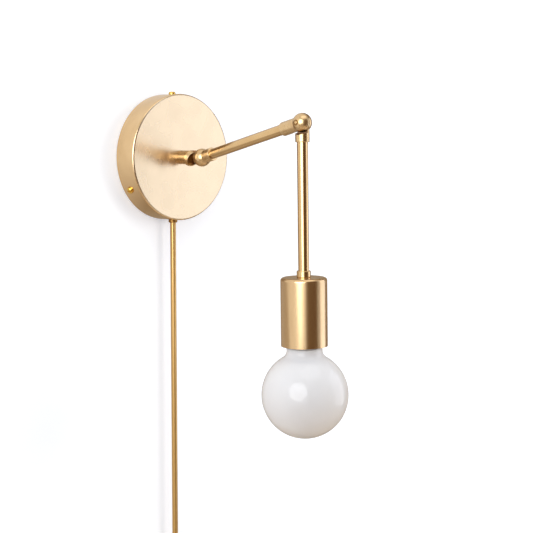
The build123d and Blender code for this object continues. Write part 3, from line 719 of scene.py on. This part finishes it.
ridge_pair = set_out(ridge, plug_plastic, 2, start=plug_middle, turn=(0, 0, math.pi))
ridges = new_piece(
    "plug_grip_ridges",
    set_out(ridge_pair, plug_plastic, RIDGES, shift=(0, 0, -RIDGE_SPACING * MM)),
    "wall", "plug_plastic", plug_plastic,
)

# End of the stem
# A bright bevelled rim, set low and leaning outwards at its top, round a face with fine teeth, toned dark
# brown as painted shade
END_SHIFT = (0, -0.9, -2.0)
END_LEAN = math.radians(20)
END_WAY = (0, -1, 0)
END_STEPS = 72
RIM_INSET = 0.6
RIM_ROUND = 0.3
RIM_BEVEL = 1.8
RIM_LIP = 0.2
FACE_GAP = 0.1
TEETH = 40
TOOTH_RADIUS = 0.3
TOOTH_SUNK = 0.35
end_hub = Matrix.Translation((Vector(END_SHIFT) - Vector((0, RING_FRONT, 0))) * MM)
end_tilt = end_hub @ Matrix.Rotation(END_LEAN, 4, "X") @ end_hub.inverted()


def end_piece(name, mesh, finish, *nodes):
    """A piece of the stem's end, leaning with it."""
    mesh.transform(end_tilt)
    new_piece(name, mesh, "wall", "polished_brass", finish, *nodes)


rim_profile = [
    (RING_BACK, STEM_RADIUS - RIM_INSET),
    (RING_BACK, RING_RADIUS - RIM_ROUND),
    (RING_BACK + RIM_ROUND, RING_RADIUS),
    (RING_FRONT - RIM_BEVEL, RING_RADIUS),
    (RING_FRONT, STEM_RADIUS + RIM_LIP),
    (RING_FRONT - RIM_LIP, STEM_RADIUS - FACE_GAP),
    (RING_FRONT - RIM_INSET, STEM_RADIUS - RIM_INSET),
]
end_piece(
    "stem_end_rim", turned("stem_end_rim", END_SHIFT, END_WAY, rim_profile, around=END_STEPS, looped=True),
    knuckle_brass, "base_ring",
)
# A shallow dish: distance behind the rim's front, and radius
dish = ((1.4, STEM_RADIUS - 0.3), (0.3, STEM_RADIUS - FACE_GAP), (0.6, STEM_RADIUS - 2.0), (1.0, 0.5))
face_profile = [(RING_FRONT - behind, radius) for behind, radius in dish]
end_piece(
    "stem_end_face", turned("stem_end_face", END_SHIFT, END_WAY, face_profile, around=END_STEPS),
    painted_shade_brass,
)
# A tooth: distance inside the stem's radius, and its own radius
tooth_form = ((2.2, 0.05), (1.9, TOOTH_RADIUS), (FACE_GAP, TOOTH_RADIUS))
tooth_profile = [(STEM_RADIUS - inside, radius) for inside, radius in tooth_form]
tooth = turned("end_tooth", (0, TOOTH_SUNK - RING_FRONT, 0), (0, 0, 1), tooth_profile, around=6)
end_piece(
    "stem_end_teeth",
    set_out(tooth, painted_shade_brass, TEETH, start=Vector(END_SHIFT) * MM, turn=(0, math.tau / TEETH, 0)),
    painted_shade_brass,
)

# Tip of the elbow's pivot
# The bright end of the pivot, in a ring toned dark as painted shade, on the near side of the ball
# Both outlines give the distance from the ball's centre, and the radius
TIP_WAY = (-1, 0, 0)
tip_profile = [(7.6, 1.5), (8.85, 1.5), (9.1, 1.35), (9.25, 1.0), (9.3, 0.3)]
new_piece(
    "elbow_pivot_tip", turned("elbow_pivot_tip", ELBOW_PIVOT, TIP_WAY, tip_profile, around=24),
    "arm", "polished_brass", tube_brass,
)
tip_ring_profile = [(8.0, 1.4), (8.0, 2.7), (8.56, 2.7), (8.72, 2.3), (8.78, 1.8), (8.74, 1.4)]
new_piece(
    "elbow_tip_ring",
    turned("elbow_tip_ring", ELBOW_PIVOT, TIP_WAY, tip_ring_profile, around=32, looped=True),
    "arm", "polished_brass", painted_shade_brass,
)

# Screw cap of the bulb
THREAD_PITCH = 3.63
THREAD_DEPTH = 0.55
THREAD_START = CAP_TOP + 2.5
THREAD_END = CAP_BOTTOM - 4.0
THREAD_FADE = 1.5
# Shares of the thread's depth: how far in the plain ends lie, and how far the thread swings in and out
PLAIN_INSET = 0.2
THREAD_SWING = 0.9
CAP_STEPS = 44
CAP_WALL = 0.6
NECK_INSET = 3.0
SHOULDER_END = 1.4
# Both outlines give the distance below the cap's top, and the distance inside its radius
CAP_SHOULDER = ((0, NECK_INSET), (0, 2.6), (0.5, 1.2))
CAP_LINING = ((1.5, CAP_WALL + THREAD_DEPTH * 2), (CAP_WALL, NECK_INSET))


def thread_radius(along):
    """The cap's radius at this distance along the drop, as a function of the angle."""
    fade = max(0.0, min(1.0, (along - THREAD_START) / THREAD_FADE, (THREAD_END - along) / THREAD_FADE))
    middle = CAP_RADIUS - THREAD_DEPTH * (PLAIN_INSET + (1 - PLAIN_INSET) * fade)
    depth = THREAD_SWING * THREAD_DEPTH * fade
    return lambda angle: middle + depth * math.cos(math.tau * along / THREAD_PITCH - angle)


def cap_points(outline):
    """Distances along the drop, and radii, of one of the cap's outlines."""
    return [(CAP_TOP + down, CAP_RADIUS - inset) for down, inset in outline]


cap_profile = cap_points(CAP_SHOULDER)
for i in range(CAP_STEPS + 1):
    along = CAP_TOP + SHOULDER_END + (CAP_BOTTOM - CAP_TOP - SHOULDER_END) * i / CAP_STEPS
    cap_profile.append((along, thread_radius(along)))
cap_profile.append((CAP_BOTTOM, CAP_RADIUS - CAP_WALL))
cap_profile += cap_points(CAP_LINING)
new_piece(
    "threaded_bulb_cap",
    turned("threaded_bulb_cap", ELBOW_PIVOT, DROP_WAY, cap_profile, around=56, looped=True),
    "bulb", "cap_aluminium", cap_aluminium, "bulb_cap",
)

# Ribbed wire connectors
RIBS = 12


def ribbed(radius, height):
    """A radius with rounded ribs round it."""
    return lambda angle: radius + height * max(0.0, math.cos(RIBS * angle)) ** 2


# Distance from the near end, and radius: the mouth, the flange and the ribbed cone
connector_form = (
    (9, 3.2), (0, 3.2), (0, 5.1), (0.4, 5.5), (2.4, 5.4), (2.8, ribbed(4.7, 0.2)),
    (4, ribbed(4.4, 0.5)), (13.5, ribbed(3.2, 0.5)), (14.5, ribbed(3.2, 0.25)), (15.5, 2.9), (16, 2.0),
)
connector_profile = [(CONNECTOR_NEAR + along, radius) for along, radius in connector_form]
connector = turned("wire_connector", (0, 0, 0), (1, 0, 0), connector_profile, around=96)
new_piece(
    "ribbed_wire_connectors",
    set_out(connector, connector_plastic, 2, start=Vector(CONNECTOR_PLACE) * MM, turn=(0, 0, math.pi)),
    "wall", "connector_plastic", connector_plastic, "wire_connectors",
)


# Wall, floor, lamps and cards
def stage_plane(name, centre, across, up, material):
    """A flat rectangle of the stage, from its centre and two half sides."""
    centre, across, up = Vector(centre), Vector(across), Vector(up)
    mesh = bpy.data.meshes.new(name)
    corners = [centre - across - up, centre + across - up, centre + across + up, centre - across + up]
    mesh.from_pydata(corners, [], [(0, 1, 2, 3)])
    mesh.materials.append(material)
    made = bpy.data.objects.new(name, mesh)
    scene.collection.objects.link(made)
    return made


def seen_rays(tree):
    """1 for rays from the camera, and 1 for rays that gloss or glass sends."""
    path = add_node(tree, "ShaderNodeLightPath")
    mirrored = add_node(tree, "ShaderNodeMath", {
        0: path.outputs["Is Glossy Ray"], 1: path.outputs["Is Transmission Ray"],
    }, operation="MAXIMUM")
    return path.outputs["Is Camera Ray"], mirrored.outputs["Value"]


WALL_GLOW = 0.32
# The wall as metal sees it: it darkens away from the upper left, faster below the canopy's middle,
# and low on the left it stays a little brighter
MIRROR_SLOPE = (-4.5, 0, 3.0)
MIRROR_SLOPE_BELOW = 2.0
MIRROR_RANGE = (-0.15, 0.4)
LIFT_HEIGHTS = (-0.09, -0.13)
LIFT_SIDES = (0.04, 0.0)
LIFT_MOST = 0.28
WALL_GAP = 0.0004
WORLD_LIGHT = 0.6
WORLD_SEEN = 1.0


def wall_paint():
    """Matt white paint: white to the camera but for soft shadows, and in metal lit from the upper left."""
    material, tree = bare_material("matt_white_wall")
    from_camera, mirrored = seen_rays(tree)
    paint = add_node(tree, "ShaderNodeBsdfDiffuse", {"Color": linear("#F7F7F7")})
    white = add_node(tree, "ShaderNodeEmission", {"Color": linear("#CEE4FF"), "Strength": WALL_GLOW})
    plain = add_node(tree, "ShaderNodeAddShader", {0: paint.outputs[0], 1: white.outputs[0]})
    place = add_node(tree, "ShaderNodeTexCoord")
    axes = add_node(tree, "ShaderNodeSeparateXYZ", {"Vector": place.outputs["Object"]})
    slope = add_node(tree, "ShaderNodeVectorMath", {
        0: place.outputs["Object"], 1: MIRROR_SLOPE,
    }, operation="DOT_PRODUCT")
    below = add_node(tree, "ShaderNodeMath", {0: axes.outputs["Z"], 1: 0.0}, operation="MINIMUM")
    steep = add_node(tree, "ShaderNodeMath", {
        0: below.outputs["Value"], 1: MIRROR_SLOPE_BELOW, 2: slope.outputs["Value"],
    }, operation="MULTIPLY_ADD")
    fall = add_node(tree, "ShaderNodeMapRange", {
        "Value": steep.outputs["Value"], "From Min": MIRROR_RANGE[0], "From Max": MIRROR_RANGE[1],
    })
    low = add_node(tree, "ShaderNodeMapRange", {
        "Value": axes.outputs["Z"],
        "From Min": LIFT_HEIGHTS[0],
        "From Max": LIFT_HEIGHTS[1],
        "To Max": LIFT_MOST,
    })
    left = add_node(tree, "ShaderNodeMapRange", {
        "Value": axes.outputs["X"], "From Min": LIFT_SIDES[0], "From Max": LIFT_SIDES[1],
    })
    lift = add_node(tree, "ShaderNodeMath", {
        0: low.outputs["Result"], 1: left.outputs["Result"],
    }, operation="MULTIPLY")
    share = add_node(tree, "ShaderNodeMath", {
        0: fall.outputs["Result"], 1: lift.outputs["Value"],
    }, operation="MAXIMUM")
    tone = add_node(tree, "ShaderNodeMixRGB", {
        "Fac": share.outputs["Value"], "Color1": linear("#A5957F"), "Color2": linear("#FFFAF2"),
    })
    lit = add_node(tree, "ShaderNodeEmission", {"Color": tone.outputs["Color"], "Strength": 1.0})
    front = add_node(tree, "ShaderNodeMixShader", {
        0: from_camera, 1: paint.outputs[0], 2: plain.outputs[0],
    })
    front = add_node(tree, "ShaderNodeMixShader", {
        0: mirrored, 1: front.outputs[0], 2: lit.outputs[0],
    })
    clear = add_node(tree, "ShaderNodeBsdfTransparent")
    side = add_node(tree, "ShaderNodeNewGeometry")
    both = add_node(tree, "ShaderNodeMixShader", {
        0: side.outputs["Backfacing"], 1: front.outputs[0], 2: clear.outputs[0],
    })
    add_node(tree, "ShaderNodeOutputMaterial", {"Surface": both.outputs[0]})
    return material


def card_tone(name, colour):
    """A card of one even tone."""
    material, tree = bare_material(name)
    tone = add_node(tree, "ShaderNodeEmission", {"Color": linear(colour), "Strength": 1.0})
    add_node(tree, "ShaderNodeOutputMaterial", {"Surface": tone.outputs[0]})
    return material


stage_plane("white_wall", (0, WALL_GAP, 0.6), (4, 0, 0), (0, 0, 1.9), wall_paint())
floor_paint = new_material("pale_floor", Base_Color=linear("#DAC6AE"), Roughness=0.8)[0]
floor = stage_plane("pale_floor", (0, -2.5, -1.3), (4, 0, 0), (0, 2.5, 0), floor_paint)
floor.visible_camera = False
# Cards that only gloss sees: name, centre, half sides across and up, and tone
cards = (
    ("front_card", (-0.35, -2.0, 0.05), (1.1, 0, 0), (0, 0, 1.35), "#6E573F"),
    ("ceiling_card", (0, -1.6, 2.0), (2.4, 0, 0), (0, 1.6, 0), "#CFC6BA"),
    ("right_card", (1.3, -0.23, 0), (0, 0.21, 0), (0, 0, 1.4), "#8A7359"),
    ("panel_surround", (1.87, -1.45, 0), (0.76, 1.1, 0), (0, 0, 1.9), "#ADADB0"),
)
for name, centre, across, up, colour in cards:
    card = stage_plane(name, centre, across, up, card_tone(name + "_tone", colour))
    card.visible_camera = card.visible_diffuse = False
    card.visible_shadow = card.visible_transmission = False

world = bpy.data.worlds.new("studio")
scene.world = world
world.use_nodes = True
world.node_tree.nodes.clear()
from_camera, mirrored = seen_rays(world.node_tree)
seen = add_node(world.node_tree, "ShaderNodeMath", {0: from_camera, 1: mirrored}, operation="MAXIMUM")
level = add_node(world.node_tree, "ShaderNodeMapRange", {
    "Value": seen.outputs["Value"], "To Min": WORLD_LIGHT, "To Max": WORLD_SEEN,
})
sky = add_node(world.node_tree, "ShaderNodeBackground", {
    "Color": (1, 1, 1, 1), "Strength": level.outputs["Result"],
})
add_node(world.node_tree, "ShaderNodeOutputWorld", {"Surface": sky.outputs[0]})

LAMP_TARGET = Vector((0, -0.15, -0.1))


def soft_lamp(name, place, width, height, brightness, shape="RECTANGLE", on_gloss=True, on_matt=True,
              tint="#FFFFFF"):
    """An area lamp that faces the sconce, given by how bright its own face is."""
    data = bpy.data.lights.new(name, "AREA")
    data.shape = shape
    data.size, data.size_y = width, height
    area = width * height * (math.pi / 4 if shape == "ELLIPSE" else 1)
    data.energy = brightness * math.pi * area
    data.color = linear(tint)[:3]
    lamp = bpy.data.objects.new(name, data)
    lamp.location = place
    lamp.rotation_euler = (LAMP_TARGET - Vector(place)).to_track_quat("-Z", "Y").to_euler()
    lamp.visible_glossy = on_gloss
    lamp.visible_diffuse = on_matt
    scene.collection.objects.link(lamp)


soft_lamp("left_dish", (-1.515, -0.828, 0.36), 1.55, 1.55, 3.1, "ELLIPSE", on_matt=False)
soft_lamp("right_panel", (1.29, -1.04, 0.05), 1.1, 1.7, 1.25, tint="#F6F8FF")
soft_lamp("top_panel", (-0.1, -0.8, 1.6), 1.6, 1.2, 0.95)
soft_lamp("left_fill", (-1.5, -0.42, 0.4), 0.9, 0.9, 4.2, on_gloss=False, tint="#F7FAFF")
soft_lamp("right_key", (1.2, -1.75, 0.2), 0.7, 0.7, 4.6, on_gloss=False, tint="#FFF5EA")

bpy.context.view_layer.update()
